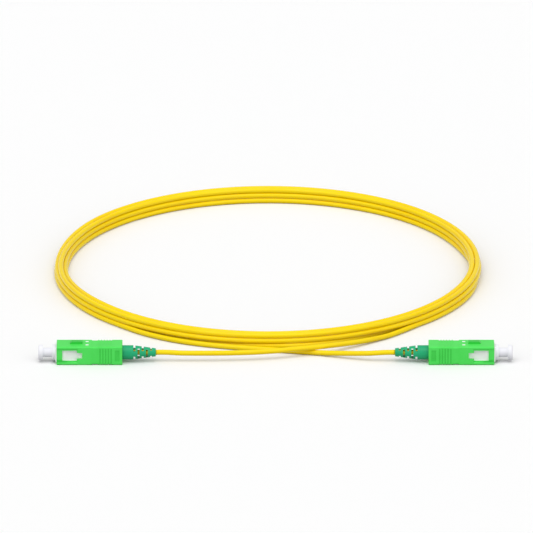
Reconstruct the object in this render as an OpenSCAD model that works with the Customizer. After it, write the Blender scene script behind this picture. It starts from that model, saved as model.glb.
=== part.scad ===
// Simplex fibre optic patch cord: a round coil of slim cable with an angled SC push-pull plug on each end.
// Millimetres. Both plugs lie on z = 0 along X, keys up, with the coil behind them on the +Y side.
// A plug is drawn in its own frame: x = 0 is the grip's front face, +x runs back towards the cable.

/* [Layout] */
// Distance from the middle of the set to each grip's front face
half_span = 83.9; // [80:0.1:95]

/* [Grip] */
// Length of the outer push-pull housing
grip_l = 25.2; // [24.4:0.1:26.5]
// Width of the grip across the two windows
grip_w = 9.0; // [8.8:0.05:9.6]
// Height of the grip without its key
grip_h = 7.4; // [7.3:0.05:8]
// Radius of the grip's long edges
grip_edge_r = 0.6; // [0.3:0.05:0.7]
// Radius of the edges of the grip's two ends
grip_end_r = 0.35; // [0.2:0.05:0.5]
// How far the grip pulls back on the plug frame to unlatch
grip_travel = 1.8; // [1:0.1:2]
// Clearance between the grip and the frame that it slides on, each side
slide_gap = 0.1; // [0.05:0.01:0.12]
// Length of the key on the grip
key_l = 4.8; // [3.5:0.1:5]
// Width of the key
key_w = 2.2; // [1.8:0.05:2.4]
// Height of the key above the grip
key_h = 0.9; // [0.5:0.05:1]
// Distance from the grip's front to the key
key_x = 5.1; // [4:0.1:6]
// Length of the slope on the key's front
key_slope = 0.6; // [0.2:0.1:1]
// Distance from the grip's front to its side windows
window_x = 2.15; // [1.8:0.05:2.6]
// Length of the tall part of a window
window_l = 5.65; // [5:0.05:5.8]
// Height of the tall part of a window
window_h = 4.2; // [3.6:0.1:4.4]
// Length of the narrow rear part of a window
window_tail_l = 2.0; // [1.2:0.1:2.1]
// Height of the narrow rear part of a window
window_tail_h = 2.5; // [2:0.1:3]
// Height of the sunken lead-in channel round a window
channel_h = 5.8; // [5.2:0.1:6]
// Depth of the lead-in channel
channel_depth = 0.35; // [0.1:0.05:0.4]
// Height of the groove and the step below each window
relief_h = 0.3; // [0.2:0.05:0.35]
// Depth of the step below each window, from the channel's floor
relief_depth = 0.25; // [0.15:0.05:0.3]
// Wall that the groove leaves between it and the grip's inside
groove_wall = 0.3; // [0.25:0.05:0.45]
// How far the groove lies below the axis
relief_drop = 1.7; // [1.5:0.05:1.8]
// Start of the step, from the front end
step_x = 4.0; // [3.5:0.1:4.5]
// Length of the step
step_l = 3.7; // [3:0.1:3.75]
// Distance from the grip's front to the finger zone
zone_x = 13.5; // [13:0.1:14]
// Depth of the finger zone below the outer faces, which is also the height of its ribs
zone_depth = 0.2; // [0.1:0.05:0.25]
// Number of finger ribs
rib_count = 5; // [3:1:6]
// Distance from one finger rib to the next
rib_pitch = 1.07; // [0.9:0.01:1.15]
// Width of a finger rib
rib_w = 0.5; // [0.3:0.05:0.6]
// Length of the collar behind the finger zone
collar_l = 4.0; // [3.6:0.1:4.4]
// Length of the shallow pad on each side of the collar
pad_l = 1.8; // [1:0.1:2.2]
// Height of the shallow pad
pad_h = 4.5; // [3:0.1:5]
// Depth of the shallow pad
pad_depth = 0.2; // [0.1:0.05:0.3]

/* [Plug frame] */
// Width of the inner plug frame
frame_w = 7.0; // [6.7:0.05:7.05]
// Height of the inner plug frame
frame_h = 5.7; // [5.7:0.02:5.8]
// Length of the plug frame
frame_l = 18.45; // [18:0.05:19]
// How far the frame stands out of the grip's front
frame_out = 0.45; // [0.2:0.05:0.6]
// Bevel on the frame's front edges
frame_bevel = 0.3; // [0.1:0.05:0.5]
// Diameter of the bore that takes the adapter's sleeve holder
sleeve_bore_d = 4.9; // [4.8:0.05:5]
// Distance from the grip's front to the web that carries the ferrule
web_x = 5.4; // [5.2:0.1:5.8]
// Thickness of that web
web_t = 1.1; // [0.9:0.1:1.2]
// Diameter of the spring chamber behind the web
chamber_d = 5.0; // [4.9:0.02:5.1]
// Distance from the grip's front to the shoulder that the adapter's hooks catch
shoulder_x = 3.45; // [3:0.05:3.8]
// Length of the pocket behind that shoulder
pocket_l = 5.2; // [4.6:0.1:5.6]
// Height of that pocket
pocket_h = 4.6; // [4.2:0.1:4.8]
// Depth of that pocket
pocket_depth = 0.5; // [0.3:0.05:0.6]
// Length of the stop lug on each side of the frame
lug_l = 1.2; // [0.8:0.1:1.3]
// Height of a stop lug
lug_h = 2.2; // [1.6:0.1:3]
// How far a stop lug stands out of the frame
lug_out = 0.4; // [0.3:0.02:0.44]
// Distance from the grip's front to the back of the stop lugs
lug_x = 13.2; // [13:0.05:13.4]

/* [Ferrule] */
// Diameter of the ferrule
ferrule_d = 2.5; // [2.4:0.05:2.55]
// Length of the ferrule
ferrule_l = 10.5; // [10.2:0.1:10.8]
// How far the ferrule's tip stands out of the grip's front
ferrule_out = 2.0; // [1.6:0.1:2.3]
// Angle of the polished end face
tip_angle = 8; // [0:1:9]
// Length of the bevel round the ferrule's tip
tip_bevel = 0.6; // [0.4:0.1:0.8]
// How far the ferrule and its holder push back against the spring
ferrule_travel = 1.0; // [0.6:0.1:1.2]
// Radial clearance of a sliding shaft in its hole
shaft_gap = 0.06; // [0.04:0.01:0.08]
// Diameter of the holder's flange
flange_d = 4.6; // [4.4:0.05:4.7]
// Thickness of the holder's flange
flange_t = 1.6; // [1.4:0.1:1.8]
// Diameter of the holder's tail
holder_tail_d = 2.8; // [2.6:0.05:3]
// Length of the holder's tail behind the flange
holder_tail_l = 5.4; // [4.8:0.1:5.5]
// Width of the four notches in the flange
flange_notch_w = 0.6; // [0.3:0.1:0.8]
// Outside diameter of the spring
spring_d = 4.4; // [4.2:0.05:4.5]
// Wire diameter of the spring
spring_wire = 0.45; // [0.35:0.05:0.5]
// Number of curls in the spring
spring_curls = 6.5; // [5:0.5:6.5]
// Diameter of the bare glass fibre
fibre_d = 0.125; // [0.12:0.005:0.14]
// Diameter of the fibre's tight buffer
buffer_d = 0.9; // [0.8:0.05:0.95]

/* [Crimp end] */
// Distance from the grip's front to the stop ring's front face
stop_x = 15.0; // [14.8:0.1:15.2]
// Diameter of the stop ring's flange
stop_flange_d = 5.4; // [5.2:0.05:5.5]
// Thickness of the stop ring's flange
stop_flange_t = 0.8; // [0.6:0.1:1]
// Outside diameter of the stop ring's crimp tube
crimp_tube_d = 3.6; // [3.4:0.05:3.7]
// Length of the crimp tube
crimp_tube_l = 5.2; // [4.8:0.1:5.4]
// Bore of the crimp tube
crimp_bore_d = 2.0; // [1.6:0.1:2.2]
// Thickness of the aramid yarn folded over the crimp tube
aramid_t = 0.18; // [0.12:0.02:0.2]
// Wall of the crimp sleeve
sleeve_t = 0.28; // [0.22:0.02:0.3]
// Length of the crimp sleeve's narrow part, on the jacket
sleeve_neck_l = 2.4; // [1.8:0.1:2.8]
// Clearance between pieces that are pressed, crimped or glued together
seat_gap = 0.02; // [0.01:0.01:0.03]

/* [Boot] */
// Diameter of the boot's barrel
boot_d = 5.5; // [5.4:0.02:5.6]
// Length of the barrel that shows behind the grip
barrel_l = 4.1; // [3.6:0.1:5]
// Diameter of the boot's mouth
mouth_d = 3.15; // [3:0.05:3.4]
// Bore of the boot round its first slots
boot_mid_bore = 3.6; // [3.2:0.05:3.7]
// Number of bend slots, which are cut up-down and side-side in turn
slot_count = 5; // [3:1:6]
// Distance from one bend slot to the next
slot_pitch = 1.6; // [1.4:0.05:1.8]
// Width of a bend slot
slot_w = 0.75; // [0.5:0.05:0.85]
// Height of the side webs that the up-down slots leave
side_web_h = 2.0; // [1.6:0.1:2.4]
// Thickness of the top and bottom webs that the side slots leave
top_web_t = 0.5; // [0.35:0.05:0.6]
// Length of the boot's last segment
last_segment_l = 1.8; // [1.4:0.1:2.4]

/* [Dust cap] */
// Diameter of the cap's rear flange
cap_rear_d = 6.3; // [5.8:0.1:6.6]
// Thickness of the cap's rear flange
cap_rear_t = 1.25; // [1:0.05:1.6]
// Diameter of the cap's neck
cap_neck_d = 3.7; // [3.5:0.05:4]
// Length of the cap's neck
cap_neck_l = 3.6; // [3:0.1:4.2]
// Diameter of the cap's front flange
cap_front_d = 5.9; // [5.4:0.1:6.4]
// Thickness of the cap's front flange
cap_front_t = 1.8; // [1.4:0.1:2.2]
// Bevel on the front flange
cap_bevel = 0.45; // [0.2:0.05:0.6]
// Outside diameter of the part of the cap that goes into the plug
cap_plug_d = 4.4; // [4.2:0.05:4.5]
// Length of that part
cap_plug_l = 4.8; // [4:0.1:5]
// How far the cap's bore goes on beyond the ferrule's tip
cap_bore_spare = 2.6; // [1.5:0.1:3]
// How far the cap is drawn forward to come clear
cap_travel = 12; // [8:0.5:15]

/* [Cable] */
// Diameter of the cable
cord_d = 2.0; // [1.8:0.05:2.05]
// Half width of the coil, to the middle of its pile of loops
coil_rx = 80.3; // [77:0.1:83]
// Half depth of the coil, to the middle of its pile of loops
coil_ry = 86.7; // [84:0.1:89]
// Free gap between loops that lie on each other
lay_gap = 0.45; // [0.42:0.01:0.6]
// How far out the lowest loops lie from the middle of the pile
low_half = 1.75; // [1.6:0.05:2]
// How far out the middle loops lie
mid_half = 1.5; // [1.4:0.05:1.6]
// How far out the top loops lie
top_half = 1.25; // [1.24:0.02:1.4]

/* [Hidden] */
round_fn = 64;
over = 1;
axis_z = grip_h / 2;
// Plug frame and its cavity
frame_end = frame_l - frame_out;
cavity_w = frame_w + 2 * slide_gap;
cavity_h = frame_h + 2 * slide_gap;
seat_x = web_x + web_t;
window_end = window_x + window_l;
// Finger ribs
zone_end = grip_l - collar_l;
rib_last = zone_end - 0.8;
// Ferrule, spring and fibre
ferrule_end = ferrule_l - ferrule_out;
flange_end = seat_x + flange_t;
holder_end = flange_end + holder_tail_l;
fibre_bore_d = 0.16;
buffer_start = ferrule_end + 0.6;
// Crimp end
crimp_start = frame_end + stop_flange_t;
crimp_end = crimp_start + crimp_tube_l;
aramid_d = crimp_tube_d + 2 * (aramid_t + seat_gap);
sleeve_d = aramid_d + 2 * (sleeve_t + seat_gap);
sleeve_start = crimp_start + 0.3;
jacket_start = crimp_end + 0.4;
sleeve_step = jacket_start + 0.5;
sleeve_end = sleeve_step + sleeve_neck_l;
jacket_bore_d = 1.2;
jacket_bore_l = 1.2 + ferrule_travel + 1;
buffer_end = jacket_start + 1;
// Boot
boot_start = crimp_start + 0.1;
barrel_end = grip_l + barrel_l;
slot_first = barrel_end + 0.5;
boot_end = slot_first + (slot_count - 1) * slot_pitch + last_segment_l;
throat_d = cord_d + 0.2;
// Dust cap
cap_rear_x = -frame_out;
cap_neck_x = cap_rear_x - cap_rear_t;
cap_front_x = cap_neck_x - cap_neck_l;
cap_end_x = cap_front_x - cap_front_t;
cap_bore_end = -ferrule_out - cap_bore_spare;
cap_bore_d = ferrule_d + 2 * shaft_gap;
// Pile of loops. Each entry is the place that a loop holds in the pile: side (1 out, -1 in) and level.
coil_c = [-2.8, 103.4];
coil_start = -45;
coil_sweep = 5 * 360 - 90;
ring_step = 15;
pile_half = [low_half, mid_half, top_half];
rest_z = cord_d / 2 * cos(22.5);
pile_place = [[1, 0], [-1, 0], [1, 0], [-1, 0], [-1, 1], [-1, 2], [1, 2], [1, 1], [1, 0]];
// Angles along the winding at which the cable moves to its next place in the pile
pile_move = [22.5, 277.5, 322.5, 367.5, 577.5, 922.5, 1267.5, 1627.5];
move_span = 45;
lay_pitch = cord_d + lay_gap;
// Free stretches, from each boot's mouth to the coil: hand-laid points x, y, z
route_left = [[-36, 0, 3.4], [-26, 0.1, 3.3], [-17, 0.4, 3.3], [-8, 1.3, 3.3], [0, 2.8, 3.3], [8, 5.1, 3.3],
    [15, 7.3, 3.2], [22, 10.8, 2.8], [30, 16.2, 2], [37, 21.6, 1.4], [44, 27.7, 1]];
route_right = [[36, 0.8, 2.9], [30, 2.7, 2.3], [24, 4.6, 1.7], [17, 6.7, 1.2], [9, 8.7, 1], [0, 10.5, 1],
    [-9, 12.2, 1], [-18, 14.3, 1], [-27, 16.9, 1], [-36, 20.6, 1], [-44, 25.2, 1], [-51, 30.5, 1]];

// ---- helpers ----

// Solid of revolution about the plug's axis from [x, radius] points
module turned(points)
    rotate([0, 90, 0])
        rotate_extrude($fn = round_fn)
            polygon([for (p = points) [p[1], p[0]]]);

module tube(x0, x1, outer_d, inner_d)
    turned([[x0, inner_d / 2], [x0, outer_d / 2], [x1, outer_d / 2], [x1, inner_d / 2]]);

module rounded_rect(w, h, r) {
    square([w - 2 * r, h], center = true);
    square([w, h - 2 * r], center = true);
    for (sx = [-1, 1], sy = [-1, 1])
        translate([sx * (w / 2 - r), sy * (h / 2 - r)])
            circle(r, $fn = 32);
}

// Box from x0 to x1, centred on the axis in y and z
module bar(x0, x1, w, h)
    translate([x0, -w / 2, -h / 2])
        cube([x1 - x0, w, h]);

// Bar from x0 to x1 with rounded long edges
module rounded_bar(x0, x1, w, h, r)
    translate([x0, 0, 0])
        rotate([90, 0, 90])
            linear_extrude(x1 - x0)
                rounded_rect(w, h, r);

module on_both_sides()
    for (s = [-1, 1])
        scale([1, s, 1])
            children();

module at_left()
    translate([-half_span, 0, axis_z])
        children();

module at_right()
    translate([half_span, 0, axis_z])
        rotate([0, 0, 180])
            children();

function unit(v) = v / norm(v);
function ease(t) = t <= 0 ? 0 : t >= 1 ? 1 : t * t * (3 - 2 * t);
function total(list) = [for (item = list) 1] * list;

// Direction of travel at point i of a path
function heading(path, i) =
    let (last = len(path) - 1)
    unit(path[min(i + 1, last)] - path[max(i - 1, 0)]);

// Tube swept along a path as one closed polyhedron, with a flat side turned away from ref.
// The path never runs along ref. The end rings are square to the first and last steps.
module swept(path, d, sides, ref = [0, 0, 1]) {
    last = len(path) - 1;
    points = [
        for (i = [0 : last])
            let (
                along = i <= 1 ? unit(path[1] - path[0])
                    : i >= last - 1 ? unit(path[last] - path[last - 1]) : heading(path, i),
                across = unit(cross(ref, along)),
                up = cross(along, across)
            )
            for (k = [0 : sides - 1])
                let (a = 360 * (k + 0.5) / sides - 90)
                path[i] + d / 2 * (cos(a) * across + sin(a) * up)
    ];
    skin = [
        for (i = [0 : last - 1], k = [0 : sides - 1])
            let (a = i * sides + k, b = i * sides + (k + 1) % sides)
            each [[a, a + sides, b], [b, a + sides, b + sides]]
    ];
    front = [for (k = [1 : sides - 2]) [0, k, k + 1]];
    back = [for (k = [1 : sides - 2]) [last * sides, last * sides + k + 1, last * sides + k]];
    polyhedron(points, concat(front, skin, back));
}

// ---- dust cap ----

module dust_cap()
    color("whitesmoke")
        difference() {
            turned([
                [cap_end_x, 0], [cap_end_x, cap_front_d / 2 - cap_bevel],
                [cap_end_x + cap_bevel, cap_front_d / 2], [cap_front_x, cap_front_d / 2],
                [cap_front_x, cap_neck_d / 2], [cap_neck_x, cap_neck_d / 2],
                [cap_neck_x, cap_rear_d / 2], [cap_rear_x - seat_gap, cap_rear_d / 2],
                [cap_rear_x - seat_gap, cap_plug_d / 2], [cap_rear_x + cap_plug_l, cap_plug_d / 2],
                [cap_rear_x + cap_plug_l, 0]
            ]);
            turned([
                [cap_bore_end, 0], [cap_bore_end, cap_bore_d / 2],
                [cap_rear_x + cap_plug_l + over, cap_bore_d / 2], [cap_rear_x + cap_plug_l + over, 0]
            ]);
        }

// ---- grip ----

// Outer form with every edge rounded
module grip_form()
    intersection() {
        rounded_bar(0, grip_l, grip_w, grip_h, grip_edge_r);
        translate([grip_l / 2, 0, -grip_h])
            linear_extrude(2 * grip_h)
                rounded_rect(grip_l, grip_w, grip_end_r);
        translate([grip_l / 2, grip_w, 0])
            rotate([90, 0, 0])
                linear_extrude(2 * grip_w)
                    rounded_rect(grip_l, grip_h, grip_end_r);
    }

module key()
    translate([0, key_w / 2, 0])
        rotate([90, 0, 0])
            linear_extrude(key_w)
                polygon([
                    [key_x, grip_h / 2 - over / 2], [key_x, grip_h / 2 + 0.2],
                    [key_x + key_slope, grip_h / 2 + key_h], [key_x + key_l, grip_h / 2 + key_h],
                    [key_x + key_l, grip_h / 2 - over / 2]
                ]);

// Groove round the grip that leaves the floor of the finger zone
module zone_band(x0, x1)
    difference() {
        bar(x0, x1, grip_w + over, grip_h + over);
        rounded_bar(x0 - over, x1 + over, grip_w - 2 * zone_depth, grip_h - 2 * zone_depth, grip_edge_r);
    }

module finger_zone() {
    rib_first = rib_last - (rib_count - 1) * rib_pitch;
    zone_band(zone_x, rib_first - rib_w / 2);
    for (i = [0 : rib_count - 2])
        zone_band(rib_first + i * rib_pitch + rib_w / 2, rib_first + (i + 1) * rib_pitch - rib_w / 2);
    zone_band(rib_last + rib_w / 2, zone_end);
}

module window() {
    bar(window_x, window_end, grip_w + over, window_h);
    bar(window_end - over, window_end + window_tail_l, grip_w + over, window_tail_h);
}

// Sunken channel round a window, open to the front, with bevelled banks
module channel()
    on_both_sides()
        intersection() {
            rotate([90, 0, 90])
                translate([0, 0, -over])
                    linear_extrude(window_end + 2 * over)
                        polygon([
                            [grip_w / 2 - channel_depth, channel_h / 2 - channel_depth],
                            [grip_w / 2 + over, channel_h / 2 + over],
                            [grip_w / 2 + over, -channel_h / 2 - over],
                            [grip_w / 2 - channel_depth, channel_depth - channel_h / 2]
                        ]);
            translate([0, 0, -grip_h / 2])
                linear_extrude(grip_h)
                    polygon([
                        [-over, grip_w / 2 - channel_depth], [window_end, grip_w / 2 - channel_depth],
                        [window_end + channel_depth + over, grip_w / 2 + over], [-over, grip_w / 2 + over]
                    ]);
        }

// Groove from the front end to each window, and a step along the window's lower edge
module relief()
    on_both_sides() {
        translate([-over, cavity_w / 2 + groove_wall, -relief_drop - relief_h / 2])
            cube([window_x + 2 * over, grip_w / 2, relief_h]);
        translate([step_x, grip_w / 2 - channel_depth - relief_depth, -window_h / 2 - relief_h])
            cube([step_l, channel_depth + relief_depth + over, relief_h + over]);
    }

// Inner pocket on each side: its ends stop the frame's lugs at both ends of the grip's travel
module lug_pocket()
    bar(lug_x - lug_l - grip_travel - slide_gap, lug_x + slide_gap,
        frame_w + 2 * (lug_out + slide_gap), lug_h + 2 * slide_gap);

module grip()
    color("limegreen")
        difference() {
            union() {
                grip_form();
                key();
            }
            bar(-over, grip_l + over, cavity_w, cavity_h);
            window();
            channel();
            relief();
            finger_zone();
            lug_pocket();
            on_both_sides()
                translate([grip_l - collar_l / 2 - pad_l / 2, grip_w / 2 - pad_depth, -pad_h / 2])
                    cube([pad_l, over, pad_h]);
        }

// ---- plug frame ----

module frame_form()
    intersection() {
        translate([-frame_out, frame_w, 0])
            rotate([90, 0, 0])
                linear_extrude(2 * frame_w)
                    polygon([
                        [0, frame_h / 2 - frame_bevel], [frame_bevel, frame_h / 2], [frame_l, frame_h / 2],
                        [frame_l, -frame_h / 2], [frame_bevel, -frame_h / 2], [0, frame_bevel - frame_h / 2]
                    ]);
        translate([-frame_out, 0, -frame_h])
            linear_extrude(2 * frame_h)
                polygon([
                    [0, frame_w / 2 - frame_bevel], [frame_bevel, frame_w / 2], [frame_l, frame_w / 2],
                    [frame_l, -frame_w / 2], [frame_bevel, -frame_w / 2], [0, frame_bevel - frame_w / 2]
                ]);
    }

module plug_frame()
    color("white")
        difference() {
            union() {
                frame_form();
                bar(lug_x - lug_l, lug_x, frame_w + 2 * lug_out, lug_h);
            }
            turned([
                [-frame_out - over, 0], [-frame_out - over, sleeve_bore_d / 2], [web_x, sleeve_bore_d / 2],
                [web_x, ferrule_d / 2 + shaft_gap], [seat_x, ferrule_d / 2 + shaft_gap],
                [seat_x, chamber_d / 2], [frame_end + over, chamber_d / 2], [frame_end + over, 0]
            ]);
            on_both_sides()
                translate([shoulder_x, frame_w / 2 - pocket_depth, -pocket_h / 2])
                    cube([pocket_l, over, pocket_h]);
        }

// ---- ferrule, holder, fibre, buffer, spring ----

module ferrule()
    color("ivory")
        difference() {
            turned([
                [-ferrule_out - over, 0], [-ferrule_out - over, ferrule_d / 2 - 0.4],
                [-ferrule_out, ferrule_d / 2 - 0.4], [tip_bevel - ferrule_out, ferrule_d / 2],
                [ferrule_end, ferrule_d / 2], [ferrule_end, 0]
            ]);
            translate([-ferrule_out, 0, 0])
                rotate([0, tip_angle, 0])
                    translate([-2 * over, -ferrule_d, -ferrule_d])
                        cube([2 * over, 2 * ferrule_d, 2 * ferrule_d]);
            turned([
                [-ferrule_out - 2 * over, 0], [-ferrule_out - 2 * over, fibre_bore_d / 2],
                [ferrule_end + over, fibre_bore_d / 2], [ferrule_end + over, 0]
            ]);
        }

module ferrule_holder()
    color("silver")
        difference() {
            turned([
                [seat_x + seat_gap, 0], [seat_x + seat_gap, flange_d / 2], [flange_end, flange_d / 2],
                [flange_end, holder_tail_d / 2], [holder_end, holder_tail_d / 2], [holder_end, 0]
            ]);
            turned([
                [seat_x - over, 0], [seat_x - over, ferrule_d / 2 + seat_gap],
                [ferrule_end + seat_gap, ferrule_d / 2 + seat_gap],
                [ferrule_end + seat_gap, buffer_d / 2 + seat_gap],
                [holder_end + over, buffer_d / 2 + seat_gap], [holder_end + over, 0]
            ]);
            for (a = [45 : 90 : 315])
                rotate([a, 0, 0])
                    translate([seat_x - over, -flange_notch_w / 2, flange_d / 2 - 0.4])
                        cube([flange_t + 2 * over, flange_notch_w, over]);
        }

module fibre()
    color("lightcyan")
        tube(-ferrule_out + 0.05, buffer_start, fibre_d, 0);

module buffer()
    color("mintcream")
        tube(buffer_start + seat_gap, buffer_end, buffer_d, 0);

module spring() {
    start = flange_end + 0.05 + spring_wire / 2;
    end = stop_x - 0.05 - spring_wire / 2;
    steps = 8 * spring_curls;
    color("gray")
        swept([
            for (i = [0 : steps])
                [start + (end - start) * i / steps,
                    (spring_d - spring_wire) / 2 * cos(45 * i), (spring_d - spring_wire) / 2 * sin(45 * i)]
        ], spring_wire, 6, [1, 0, 0]);
}

// ---- stop ring, aramid, crimp sleeve ----

module stop_ring()
    color("gainsboro")
        turned([
            [stop_x, crimp_bore_d / 2], [stop_x, chamber_d / 2 - seat_gap],
            [frame_end + seat_gap, chamber_d / 2 - seat_gap], [frame_end + seat_gap, stop_flange_d / 2],
            [crimp_start, stop_flange_d / 2], [crimp_start, crimp_tube_d / 2],
            [crimp_end, crimp_tube_d / 2], [crimp_end, crimp_bore_d / 2]
        ]);

module aramid()
    color("khaki")
        tube(sleeve_start, crimp_end, aramid_d, crimp_tube_d + 2 * seat_gap);

module crimp_sleeve()
    color("lightslategray")
        turned([
            [sleeve_start, aramid_d / 2 + seat_gap], [sleeve_start, sleeve_d / 2],
            [jacket_start, sleeve_d / 2], [sleeve_step, cord_d / 2 + seat_gap + sleeve_t],
            [sleeve_end, cord_d / 2 + seat_gap + sleeve_t], [sleeve_end, cord_d / 2 + seat_gap],
            [sleeve_step, cord_d / 2 + seat_gap], [jacket_start, aramid_d / 2 + seat_gap]
        ]);

// ---- boot and the cable in it ----

module boot_slot(i) {
    x = slot_first + i * slot_pitch;
    boot_d_here = boot_d - (boot_d - mouth_d) * (x - barrel_end) / (boot_end - barrel_end);
    if (i % 2 == 0)
        for (s = [-1, 1])
            translate([x - slot_w / 2, -boot_d, s > 0 ? side_web_h / 2 : -side_web_h / 2 - boot_d])
                cube([slot_w, 2 * boot_d, boot_d]);
    else
        bar(x - slot_w / 2, x + slot_w / 2, 2 * boot_d, boot_d_here - 2 * top_web_t);
}

module boot()
    color("seagreen")
        difference() {
            turned([
                [boot_start, sleeve_d / 2 + slide_gap], [boot_start, boot_d / 2], [barrel_end, boot_d / 2],
                [boot_end, mouth_d / 2], [boot_end, throat_d / 2], [boot_end - last_segment_l, throat_d / 2],
                [slot_first + slot_pitch + slot_w, boot_mid_bore / 2], [barrel_end, boot_mid_bore / 2],
                [jacket_start + slide_gap, sleeve_d / 2 + slide_gap]
            ]);
            for (i = [0 : slot_count - 1])
                boot_slot(i);
        }

// Jacketed cable inside the boot, with its end bored out round the buffer
module cable_entry()
    color("gold")
        difference() {
            turned([
                [jacket_start, 0], [jacket_start, cord_d / 2], [boot_end, cord_d / 2], [boot_end, 0]
            ]);
            turned([
                [jacket_start - over, 0], [jacket_start - over, jacket_bore_d / 2],
                [jacket_start + jacket_bore_l, jacket_bore_d / 2], [jacket_start + jacket_bore_l, 0]
            ]);
        }

// ---- free cable ----

// Place in the pile after winding through angle a: distance out from the pile's middle, and height
function place(k) = [pile_place[k][0] * pile_half[pile_place[k][1]], rest_z + pile_place[k][1] * lay_pitch];
function pile_at(a) = place(0)
    + total([for (k = [0 : len(pile_move) - 1]) ease((a - pile_move[k]) / move_span) * (place(k + 1) - place(k))]);
function coil_point(a) =
    let (p = pile_at(a))
    [coil_c[0] + (coil_rx + p[0]) * cos(coil_start + a), coil_c[1] + (coil_ry + p[0]) * sin(coil_start + a), p[1]];
function coil_heading(a) =
    unit([-(coil_rx + low_half) * sin(coil_start + a), (coil_ry + low_half) * cos(coil_start + a), 0]);

// The coil starts and ends straight for one diameter
coil_first = coil_point(0) - cord_d * coil_heading(0);
coil_last = coil_point(coil_sweep) + cord_d * coil_heading(coil_sweep);
coil_path = concat([coil_first], [for (a = [0 : ring_step : coil_sweep]) coil_point(a)], [coil_last]);

// Least distance between rings that are most of a loop apart, less the cable's diameter
loop_rings = 360 / ring_step;
coil_gap = min([
    for (i = [0 : len(coil_path) - 1], j = [i + loop_rings - 3 : len(coil_path) - 1])
        norm(coil_path[i] - coil_path[j])
]) - cord_d;

// Smooth curve through hand-laid points, with one more ring between each pair
function curved(p) = [
    for (i = [0 : len(p) - 2])
        let (a = p[max(i - 1, 0)], b = p[i], c = p[i + 1], d = p[min(i + 2, len(p) - 1)])
        each [b, (9 * (b + c) - a - d) / 16],
    p[len(p) - 1]
];

// Each stretch runs straight for one diameter where it meets the coil, and for two at the boot
mouth_x = half_span - boot_end;
meet_left = coil_first - cord_d * coil_heading(0);
meet_right = coil_last + cord_d * coil_heading(coil_sweep);
leave_x = mouth_x - 2 * cord_d;
tail_left_path = concat([[-mouth_x, 0, axis_z]],
    curved(concat([[-leave_x, 0, axis_z]], route_left, [meet_left])), [coil_first]);
tail_right_path = concat([[mouth_x, 0, axis_z]],
    curved(concat([[leave_x, 0, axis_z]], route_right, [meet_right])), [coil_last]);

function path_length(p) = total([for (i = [0 : len(p) - 2]) norm(p[i + 1] - p[i])]);
echo(coil_gap_mm = coil_gap);
echo(tails_gap_mm = min([for (a = tail_left_path, b = tail_right_path) norm(a - b)]) - cord_d);
echo(cable_length_mm = path_length(coil_path) + path_length(tail_left_path) + path_length(tail_right_path));

module cable_tail_left()
    color("gold")
        swept(tail_left_path, cord_d, 8);

module cable_tail_right()
    color("gold")
        swept(tail_right_path, cord_d, 8);

module cable_coil()
    color("gold")
        swept(coil_path, cord_d, 6);

at_left() dust_cap();  // dust_cap_left
at_left() grip();  // grip_left
at_left() plug_frame();  // plug_frame_left
at_left() ferrule();  // ferrule_left
at_left() ferrule_holder();  // ferrule_holder_left
at_left() fibre();  // fibre_left
at_left() buffer();  // buffer_left
at_left() spring();  // spring_left
at_left() stop_ring();  // stop_ring_left
at_left() aramid();  // aramid_left
at_left() crimp_sleeve();  // crimp_sleeve_left
at_left() boot();  // boot_left
at_left() cable_entry();  // cable_entry_left
at_right() dust_cap();  // dust_cap_right
at_right() grip();  // grip_right
at_right() plug_frame();  // plug_frame_right
at_right() ferrule();  // ferrule_right
at_right() ferrule_holder();  // ferrule_holder_right
at_right() fibre();  // fibre_right
at_right() buffer();  // buffer_right
at_right() spring();  // spring_right
at_right() stop_ring();  // stop_ring_right
at_right() aramid();  // aramid_right
at_right() crimp_sleeve();  // crimp_sleeve_right
at_right() boot();  // boot_right
at_right() cable_entry();  // cable_entry_right
cable_tail_left();
cable_tail_right();
cable_coil();
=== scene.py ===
import math

import bmesh
import bpy
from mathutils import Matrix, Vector


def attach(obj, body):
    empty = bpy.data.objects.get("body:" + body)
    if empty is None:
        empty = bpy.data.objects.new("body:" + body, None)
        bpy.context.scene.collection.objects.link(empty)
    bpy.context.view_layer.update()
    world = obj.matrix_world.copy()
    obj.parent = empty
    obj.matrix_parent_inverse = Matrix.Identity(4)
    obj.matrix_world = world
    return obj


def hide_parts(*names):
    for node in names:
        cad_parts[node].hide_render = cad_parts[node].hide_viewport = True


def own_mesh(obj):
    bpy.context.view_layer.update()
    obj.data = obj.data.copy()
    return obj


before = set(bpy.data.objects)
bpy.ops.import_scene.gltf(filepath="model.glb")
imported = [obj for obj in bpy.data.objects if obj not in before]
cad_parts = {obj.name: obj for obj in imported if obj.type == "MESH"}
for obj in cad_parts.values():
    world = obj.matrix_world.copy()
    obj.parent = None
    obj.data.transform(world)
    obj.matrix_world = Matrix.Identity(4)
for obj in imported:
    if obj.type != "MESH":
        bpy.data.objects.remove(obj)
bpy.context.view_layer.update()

# Lengths are in millimetres, as in part.scad, unless a comment says metres. Times MM they are in metres.
MM = 0.001
# How far each grip's front face lies from the origin along X, and how far its axis lies above the table
HALF_SPAN = 83.9
AXIS_Z = 3.7
# The two plugs, each with the direction along X in which its cable points away
SIDES = (("left", 1), ("right", -1))


# ---- camera ----

LOOK_AT = Vector((-3.43, 111.83, 0.0)) * MM
ELEVATION = math.radians(19)
VIEW_WIDTH = 207.01 * MM
LENS = 1500
SENSOR = 36
# Nearest and farthest that the camera sees, as shares of its distance from LOOK_AT
CLIP_NEAR = 0.5
CLIP_FAR = 3

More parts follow.
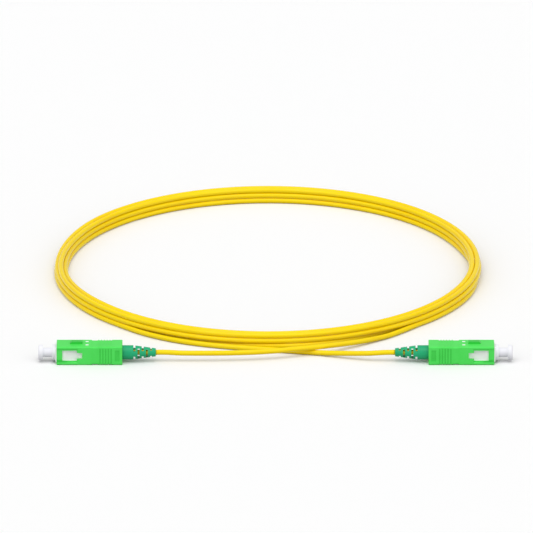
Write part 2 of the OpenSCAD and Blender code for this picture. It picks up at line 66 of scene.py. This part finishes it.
cam_data = bpy.data.cameras.new("camera")
cam_data.lens = LENS
cam_data.sensor_width = SENSOR
back = Vector((0, -math.cos(ELEVATION), math.sin(ELEVATION)))
distance = LENS * VIEW_WIDTH / SENSOR
cam = bpy.data.objects.new("camera", cam_data)
cam.location = LOOK_AT + back * distance
cam.rotation_euler = (math.pi / 2 - ELEVATION, 0, 0)
cam_data.clip_start = distance * CLIP_NEAR
cam_data.clip_end = distance * CLIP_FAR
bpy.context.scene.collection.objects.link(cam)
bpy.context.scene.camera = cam


# ---- the cable's route, in millimetres ----

CORD_D = 2.0
COIL_C = (-2.8, 103.4)
COIL_RX = 80.3
COIL_RY = 86.7

# Degrees along the winding: it starts at COIL_START from the +X axis and goes on by COIL_SWEEP,
# and the route has a point every COIL_STEP.
COIL_START = -45.0
COIL_SWEEP = 5 * 360 - 90
COIL_STEP = 3

# The cable's places in the pile, one after the other: how far out from its middle, and on which level.
# The place at 0.9 draws the top row in at the coil's right end, where the floor would show through.
LEVEL_Z = (1.0, 3.0, 5.0)
PILE_PLACE = [
    (1.75, 0), (-1.75, 0), (1.75, 0), (-1.75, 0), (-1.45, 1), (-1.15, 2),
    (1.15, 2), (0.9, 2), (1.15, 2), (1.45, 1), (1.75, 0),
]
# Where along the winding each move to the next place starts, and how long a move is
PILE_MOVE = (22.5, 277.5, 322.5, 367.5, 577.5, 922.5, 1060, 1140, 1267.5, 1627.5)
MOVE_SPAN = 45

# Points of the two tails, each from its boot to the coil
ROUTE_LEFT = [
    (-45.9, 0, 3.7), (-41.9, 0, 3.7), (-36, 0, 3.4), (-26, 0.1, 3.3), (-17, 0.4, 3.3),
    (-8, 1.3, 3.3), (0, 2.8, 3.3), (8, 5.1, 3.3), (15, 7.3, 3.2), (22, 10.8, 2.8),
    (30, 16.2, 2), (37, 21.6, 1.4), (44, 27.7, 1),
]
ROUTE_RIGHT = [
    (45.9, 0, 3.7), (41.9, 0.1, 3.6), (36, 0.7, 3.05), (30, 2.3, 2.45), (24, 4.4, 1.78),
    (17, 6.7, 1.2), (9, 8.7, 1), (0, 10.5, 1), (-9, 12.2, 1), (-18, 14.3, 1),
    (-27, 16.9, 1), (-36, 20.6, 1), (-44, 25.2, 1), (-51, 30.5, 1),
]
# How far into the coil, in degrees, the points lie that lead a tail into it
LEAD_ANGLES = (0, 10, 20)
# Steps from one point of a tail to the next
TAIL_STEPS = 6


def ease(t):
    """0 up to t = 0, 1 from t = 1 on, and a smooth step between them."""
    t = min(max(t, 0.0), 1.0)
    return t * t * (3 - 2 * t)


def coil_point(angle):
    """Point of the cable's middle line at so many degrees along the winding."""
    out, z = PILE_PLACE[0][0], LEVEL_Z[PILE_PLACE[0][1]]
    for k, start in enumerate(PILE_MOVE):
        t = ease((angle - start) / MOVE_SPAN)
        out += t * (PILE_PLACE[k + 1][0] - PILE_PLACE[k][0])
        z += t * (LEVEL_Z[PILE_PLACE[k + 1][1]] - LEVEL_Z[PILE_PLACE[k][1]])
    azimuth = math.radians(COIL_START + angle)
    x = COIL_C[0] + (COIL_RX + out) * math.cos(azimuth)
    y = COIL_C[1] + (COIL_RY + out) * math.sin(azimuth)
    return Vector((x, y, z))


def smooth_through(points, parts):
    """Centripetal Catmull-Rom curve through the points, with so many steps between each pair."""
    p = [Vector(q) for q in points]
    p = [2 * p[0] - p[1]] + p + [2 * p[-1] - p[-2]]
    curve = []
    for i in range(1, len(p) - 2):
        q = p[i - 1:i + 3]
        t = [0.0]
        for a, b in zip(q, q[1:]):
            t.append(t[-1] + math.sqrt((b - a).length))
        for k in range(parts):
            u = t[1] + (t[2] - t[1]) * k / parts
            a1 = q[0] * ((t[1] - u) / (t[1] - t[0])) + q[1] * ((u - t[0]) / (t[1] - t[0]))
            a2 = q[1] * ((t[2] - u) / (t[2] - t[1])) + q[2] * ((u - t[1]) / (t[2] - t[1]))
            a3 = q[2] * ((t[3] - u) / (t[3] - t[2])) + q[3] * ((u - t[2]) / (t[3] - t[2]))
            b1 = a1 * ((t[2] - u) / (t[2] - t[0])) + a2 * ((u - t[0]) / (t[2] - t[0]))
            b2 = a2 * ((t[3] - u) / (t[3] - t[1])) + a3 * ((u - t[1]) / (t[3] - t[1]))
            curve.append(b1 * ((t[2] - u) / (t[2] - t[1])) + b2 * ((u - t[1]) / (t[2] - t[1])))
    curve.append(p[-2])
    return curve


def tail(points, lead):
    """Smooth curve through a tail's points, which heads for the first lead point and stops before it."""
    return smooth_through(points + lead, TAIL_STEPS)[:len(points) * TAIL_STEPS]


coil = [coil_point(angle) for angle in range(0, COIL_SWEEP + 1, COIL_STEP)]
tail_in = tail(ROUTE_LEFT, [coil_point(angle) for angle in LEAD_ANGLES])
tail_out = tail(ROUTE_RIGHT, [coil_point(COIL_SWEEP - angle) for angle in LEAD_ANGLES])
route = tail_in + coil + tail_out[::-1]


# ---- the cable ----

CABLE_SIDES = 16


def tube_mesh(name, points, radius, sides, up=(0, 0, 1)):
    """Round tube along the points, with closed ends.
    Its cross-section stays turned to up, and doesn't twist."""
    bm = bmesh.new()
    rings = []
    up = Vector(up)
    for i, p in enumerate(points):
        along = (points[min(i + 1, len(points) - 1)] - points[max(i - 1, 0)]).normalized()
        across = up.cross(along).normalized()
        over = along.cross(across)
        rings.append([
            bm.verts.new((p + radius * (math.cos(a) * across + math.sin(a) * over)) * MM)
            for a in (2 * math.pi * k / sides for k in range(sides))
        ])
    for r0, r1 in zip(rings, rings[1:]):
        for k in range(sides):
            face = bm.faces.new((r0[k], r0[(k + 1) % sides], r1[(k + 1) % sides], r1[k]))
            face.smooth = True
    bm.faces.new(rings[0][::-1])
    bm.faces.new(rings[-1])
    bmesh.ops.recalc_face_normals(bm, faces=bm.faces)
    mesh = bpy.data.meshes.new(name)
    bm.to_mesh(mesh)
    bm.free()
    obj = bpy.data.objects.new(name, mesh)
    bpy.context.scene.collection.objects.link(obj)
    return obj


# Between two points a tail's curve dips into the table by up to 0.05 mm, so the cable is kept above it.
route = [Vector((p.x, p.y, max(p.z, CORD_D / 2))) for p in route]
cable = tube_mesh("cable", route, CORD_D / 2, CABLE_SIDES)
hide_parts("cable_coil", "cable_tail_left", "cable_tail_right")
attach(cable, "cord")


# ---- materials ----

# Between these two values the wide noise turns a material's shade into its colour.
SHADE_AT = 0.3
COLOR_AT = 0.62
# How far the wide noise takes the roughness down and up
SMOOTHER_BY = 0.06
ROUGHER_BY = 0.08
WIDE_DETAIL = 3
GRAIN_DETAIL = 2
GRAIN_DEPTH = 0.05 * MM
COAT_ROUGHNESS = 0.12


def srgb(red, green, blue):
    """Linear colour with alpha 1, from sRGB values between 0 and 255, by the standard's formula."""
    values = (red, green, blue)
    return tuple(((c / 255 + 0.055) / 1.055) ** 2.4 if c > 10 else c / 255 / 12.92 for c in values) + (1,)


def new_material(name):
    """New material, with its nodes, its links and its Principled BSDF."""
    mat = bpy.data.materials.new(name)
    mat.use_nodes = True
    return mat, mat.node_tree.nodes, mat.node_tree.links, mat.node_tree.nodes["Principled BSDF"]


def moulded(name, color, shade, rough, grain=9000, bump=0.04, drift=160,
            coat=0.0, metal=0.0, specular=0.5):
    """Material whose colour drifts between color and shade, with fine grain and uneven gloss.
    The scale of the grain's noise is grain, and that of the wide noise is drift."""
    mat, nodes, links, bsdf = new_material(name)
    where = nodes.new("ShaderNodeTexCoord")
    wide = nodes.new("ShaderNodeTexNoise")
    wide.inputs["Scale"].default_value = drift
    wide.inputs["Detail"].default_value = WIDE_DETAIL
    links.new(where.outputs["Object"], wide.inputs["Vector"])
    ramp = nodes.new("ShaderNodeValToRGB")
    ramp.color_ramp.elements[0].position = SHADE_AT
    ramp.color_ramp.elements[0].color = shade
    ramp.color_ramp.elements[1].position = COLOR_AT
    ramp.color_ramp.elements[1].color = color
    links.new(wide.outputs["Fac"], ramp.inputs["Fac"])
    links.new(ramp.outputs["Color"], bsdf.inputs["Base Color"])
    gloss = nodes.new("ShaderNodeMapRange")
    gloss.inputs["To Min"].default_value = rough - SMOOTHER_BY
    gloss.inputs["To Max"].default_value = rough + ROUGHER_BY
    links.new(wide.outputs["Fac"], gloss.inputs["Value"])
    links.new(gloss.outputs["Result"], bsdf.inputs["Roughness"])
    fine = nodes.new("ShaderNodeTexNoise")
    fine.inputs["Scale"].default_value = grain
    fine.inputs["Detail"].default_value = GRAIN_DETAIL
    links.new(where.outputs["Object"], fine.inputs["Vector"])
    relief = nodes.new("ShaderNodeBump")
    relief.inputs["Strength"].default_value = bump
    relief.inputs["Distance"].default_value = GRAIN_DEPTH
    links.new(fine.outputs["Fac"], relief.inputs["Height"])
    links.new(relief.outputs["Normal"], bsdf.inputs["Normal"])
    bsdf.inputs["Coat Weight"].default_value = coat
    bsdf.inputs["Coat Roughness"].default_value = COAT_ROUGHNESS
    bsdf.inputs["Metallic"].default_value = metal
    bsdf.inputs["Specular IOR Level"].default_value = specular
    return mat


cable_mat = moulded("cable_jacket", srgb(255, 224, 8), srgb(255, 219, 4), 0.2,
                    grain=5200, bump=0.03, drift=70, specular=0.2)
grip_mat = moulded("grip_plastic", srgb(86, 233, 98), srgb(80, 228, 92), 0.36, specular=0.2)
# Darker green for the key, and painted shade for the channel's strip below each window, which shares this
# material
key_and_channel_shade_mat = moulded("key_darker_and_channel_shade", srgb(60, 204, 74), srgb(54, 196, 68), 0.36, specular=0.2)
# Painted shade: darker green on the grooves between the finger ribs, the recess behind them and the collar's
# pads
recess_shade_mat = moulded("painted_recess_shade", srgb(74, 218, 86), srgb(68, 212, 80), 0.36, specular=0.2)
boot_mat = moulded("boot_rubber", srgb(30, 176, 119), srgb(25, 168, 112), 0.42,
                   grain=6000, bump=0.06, specular=0.3)
cap_mat = moulded("cap_plastic", srgb(244, 244, 249), srgb(240, 240, 246), 0.42, specular=0.3)
frame_mat = moulded("frame_plastic", srgb(254, 255, 254), srgb(252, 253, 252), 0.38, specular=0.3)
zirconia_mat = moulded("zirconia", srgb(245, 243, 236), srgb(238, 235, 226), 0.12,
                       grain=3000, bump=0.01, coat=0.4)
steel_mat = moulded("turned_steel", srgb(200, 200, 202), srgb(186, 186, 190), 0.3,
                    grain=14000, bump=0.08, metal=1.0)
wire_mat = moulded("spring_wire", srgb(170, 170, 174), srgb(150, 150, 156), 0.25,
                   grain=14000, bump=0.05, metal=1.0)
yarn_mat = moulded("aramid_yarn", srgb(228, 200, 96), srgb(206, 176, 70), 0.8,
                   grain=4200, bump=0.5, drift=900)
buffer_mat = moulded("buffer_plastic", srgb(240, 240, 236), srgb(232, 232, 228), 0.4)
glass_mat = moulded("glass_fibre", srgb(225, 238, 242), srgb(214, 230, 236), 0.08, bump=0.0, coat=0.5)

cable.data.materials.append(cable_mat)


# ---- the plugs' outer pieces ----

# Limits for the middle of a face that gets one of the grip's two darker materials, which carry painted
# shade. The key lies above KEY_FROM_Z.
KEY_FROM_Z = 7.43
# Distance to the side of the axis, and height above the table, of the channel's faces below the windows,
# which get painted shade
CHANNEL_Y = (4.1, 4.28)
CHANNEL_Z = (0.95, 2.3)
# The same for faces as deep as the finger zone's floor, which get painted shade, and how far along X from
# the origin they lie at most
SUNK_Y = (4.28, 4.32)
SUNK_Z = (1.2, 6.2)
SUNK_X = 67.4

# In a copy, points closer than WELD_DISTANCE, in metres, are joined, edges flatter than FLAT_ANGLE,
# in degrees, are dissolved, and edges sharper than ROUNDED_ANGLE are rounded.
WELD_DISTANCE = 1e-7
FLAT_ANGLE = 0.8
ROUNDED_ANGLE = 32
# Width of each rounding and its number of steps
GRIP_ROUND = (0.12, 3)
CAP_ROUND = (0.14, 3)
BOOT_ROUND = (0.07, 2)
MARK_ROUND = (0.02, 3)

# The two white marks on a grip: how far each lies to the plug's left as its cable points away,
# where it starts and ends along the plug, half its width, and its bottom and top above the axis
MARK_V = (("front", -1.9), ("rear", 1.9))
MARK_U = (11.1, 12.25)
MARK_HALF = 0.45
MARK_W = (3.62, 3.72)
# How full the round of a mark's edges is
MARK_PROFILE = 0.6


def between(value, limits):
    """Whether a value in metres lies between two limits in millimetres."""
    return limits[0] * MM < value < limits[1] * MM


def grip_shade(middle):
    """Material of a grip's face by its middle: 1, a darker green, for the key, and as painted shade for the
    channel below the windows; 2, painted shade, for what is as deep as the finger zone's floor behind its
    first rib: the grooves between the ribs, the recess behind them, the collar's pads and a sliver of its
    rear edge; and 0 for the rest."""
    depth = abs(middle.y)
    if middle.z > KEY_FROM_Z * MM or between(depth, CHANNEL_Y) and between(middle.z, CHANNEL_Z):
        return 1
    if between(depth, SUNK_Y) and between(middle.z, SUNK_Z) and abs(middle.x) < SUNK_X * MM:
        return 2
    return 0


def rounded_copy(base, side, body, mats, rounding, shade=lambda middle: 0):
    """Finer stand-in for a CAD node: the same solid with its sharp edges rounded.
    The function shade gives each face its material by the face's middle."""
    node = bpy.data.objects[f"{base}_{side}"]
    bm = bmesh.new()
    bm.from_mesh(node.data)
    bmesh.ops.remove_doubles(bm, verts=bm.verts, dist=WELD_DISTANCE)
    bmesh.ops.dissolve_limit(bm, angle_limit=math.radians(FLAT_ANGLE), verts=bm.verts, edges=bm.edges)
    bmesh.ops.triangulate(bm, faces=bm.faces)
    for face in bm.faces:
        face.smooth = True
        face.material_index = shade(face.calc_center_median())
    mesh = bpy.data.meshes.new(f"{base}_shell_{side}")
    bm.to_mesh(mesh)
    bm.free()
    for mat in mats:
        mesh.materials.append(mat)
    piece = bpy.data.objects.new(mesh.name, mesh)
    bpy.context.scene.collection.objects.link(piece)
    width, steps = rounding
    bevel = piece.modifiers.new("round", "BEVEL")
    bevel.width = width * MM
    bevel.segments = steps
    bevel.limit_method = "ANGLE"
    bevel.angle_limit = math.radians(ROUNDED_ANGLE)
    bevel.miter_outer = "MITER_ARC"
    bevel.harden_normals = True
    normals = piece.modifiers.new("normals", "WEIGHTED_NORMAL")
    normals.keep_sharp = True
    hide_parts(node.name)
    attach(piece, body)


def at(sign, u, v, w):
    """Point of a plug: u behind the grip's front face, v to the plug's left as its cable points away,
    and w above its axis."""
    return Vector((sign * (u - HALF_SPAN), sign * v, AXIS_Z + w))


def rounded_block(name, corners, rounding, mat, body):
    """Block between two opposite corners, with rounded edges."""
    bm = bmesh.new()
    bmesh.ops.create_cube(bm, size=1)
    low = Vector(map(min, *corners)) * MM
    high = Vector(map(max, *corners)) * MM
    for vertex in bm.verts:
        vertex.co = Vector([low[i] + (vertex.co[i] + 0.5) * (high[i] - low[i]) for i in range(3)])
    width, steps = rounding
    bmesh.ops.bevel(bm, geom=bm.edges, offset=width * MM, segments=steps, profile=MARK_PROFILE,
                    affect="EDGES")
    for face in bm.faces:
        face.smooth = True
    mesh = bpy.data.meshes.new(name)
    bm.to_mesh(mesh)
    bm.free()
    mesh.materials.append(mat)
    obj = bpy.data.objects.new(name, mesh)
    bpy.context.scene.collection.objects.link(obj)
    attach(obj, body)


for side, sign in SIDES:
    rounded_copy("grip", side, f"grip_{side}", [grip_mat, key_and_channel_shade_mat, recess_shade_mat], GRIP_ROUND,
                 shade=grip_shade)
    rounded_copy("dust_cap", side, f"cap_{side}", [cap_mat], CAP_ROUND)
    rounded_copy("boot", side, "cord", [boot_mat], BOOT_ROUND)
    for place, v in MARK_V:
        corners = (at(sign, MARK_U[0], v - MARK_HALF, MARK_W[0]),
                   at(sign, MARK_U[1], v + MARK_HALF, MARK_W[1]))
        rounded_block(f"white_mark_{side}_{place}", corners, MARK_ROUND, frame_mat,
                      f"grip_{side}")


# ---- the plugs' inner pieces ----

# These CAD nodes keep their meshes, and get their materials here.
INNER = {
    "plug_frame": frame_mat, "ferrule": zirconia_mat, "ferrule_holder": steel_mat, "fibre": glass_mat,
    "buffer": buffer_mat, "stop_ring": steel_mat, "aramid": yarn_mat, "crimp_sleeve": steel_mat,
    "cable_entry": cable_mat,
}
for base, mat in INNER.items():
    for side, _ in SIDES:
        node = bpy.data.objects[f"{base}_{side}"]
        node.data.materials.clear()
        node.data.materials.append(mat)

# The ferrule's spring lies between the holder's flange and the stop ring, with a gap at each end.
SPRING_FRONT = 8.1
SPRING_BACK = 15.0
SPRING_GAP = 0.05
SPRING_D = 4.4
SPRING_WIRE = 0.45
SPRING_CURLS = 6.5
CURL_STEPS = 24
WIRE_SIDES = 12

curl_radius = (SPRING_D - SPRING_WIRE) / 2
first = SPRING_FRONT + SPRING_GAP + SPRING_WIRE / 2
pitch = (SPRING_BACK - SPRING_GAP - SPRING_WIRE / 2 - first) / SPRING_CURLS
turns = [k / CURL_STEPS for k in range(int(CURL_STEPS * SPRING_CURLS) + 1)]
for side, sign in SIDES:
    helix = [
        at(sign, first + pitch * t,
           curl_radius * math.cos(2 * math.pi * t), curl_radius * math.sin(2 * math.pi * t))
        for t in turns
    ]
    spring = tube_mesh(f"spring_wire_{side}", helix, SPRING_WIRE / 2, WIRE_SIDES, up=(1, 0, 0))
    spring.data.materials.append(wire_mat)
    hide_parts(f"spring_{side}")
    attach(spring, "cord")
    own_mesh(spring)


# ---- floor and light ----

# The floor reaches so many metres to each side, and lies a little below what stands on it.
FLOOR_REACH = 3
FLOOR_CELLS = 8
FLOOR_DROP = 0.02 * MM
# It is white for the camera and in reflections, and grey for the light that it throws back.
FLOOR_SEEN = srgb(252, 252, 252)
FLOOR_BOUNCE = (0.45, 0.45, 0.45, 1)
FLOOR_ROUGHNESS = 0.9
FLOOR_SPECULAR = 0.1
WORLD_STRENGTH = 0.52

floor_mesh = bpy.data.meshes.new("floor")
bm = bmesh.new()
bmesh.ops.create_grid(bm, x_segments=FLOOR_CELLS, y_segments=FLOOR_CELLS, size=FLOOR_REACH)
bm.to_mesh(floor_mesh)
bm.free()
floor = bpy.data.objects.new("floor", floor_mesh)
bpy.context.scene.collection.objects.link(floor)
floor.location = (0, 0, -FLOOR_DROP)

floor_mat, nodes, links, bsdf = new_material("floor")
ray = nodes.new("ShaderNodeLightPath")
seen = nodes.new("ShaderNodeMath")
seen.operation = "MAXIMUM"
links.new(ray.outputs["Is Camera Ray"], seen.inputs[0])
links.new(ray.outputs["Is Glossy Ray"], seen.inputs[1])
pale = nodes.new("ShaderNodeMix")
pale.data_type = "RGBA"
pale.inputs["A"].default_value = FLOOR_BOUNCE
pale.inputs["B"].default_value = FLOOR_SEEN
links.new(seen.outputs["Value"], pale.inputs["Factor"])
links.new(pale.outputs["Result"], bsdf.inputs["Base Color"])
bsdf.inputs["Roughness"].default_value = FLOOR_ROUGHNESS
bsdf.inputs["Specular IOR Level"].default_value = FLOOR_SPECULAR
floor_mesh.materials.append(floor_mat)

world = bpy.data.worlds.new("world")
bpy.context.scene.world = world
world.use_nodes = True
world.node_tree.nodes["Background"].inputs["Color"].default_value = (1, 1, 1, 1)
world.node_tree.nodes["Background"].inputs["Strength"].default_value = WORLD_STRENGTH


def sun_light(name, direction, width, power):
    """Distant light from a direction, as wide as so many degrees, so that the floor is lit evenly."""
    data = bpy.data.lights.new(name, "SUN")
    data.angle = math.radians(width)
    data.energy = power
    sun = bpy.data.objects.new(name, data)
    sun.rotation_euler = Vector(direction).to_track_quat("Z", "Y").to_euler()
    sun.location = Vector(direction).normalized()
    bpy.context.scene.collection.objects.link(sun)


sun_light("key_light", (-0.05, -0.35, 1), width=50, power=1.05)
sun_light("fill_left", (-0.8, -0.6, 0.45), width=70, power=0.7)
sun_light("fill_right", (0.8, -0.6, 0.45), width=70, power=0.7)

bpy.context.scene.view_settings.view_transform = "Standard"
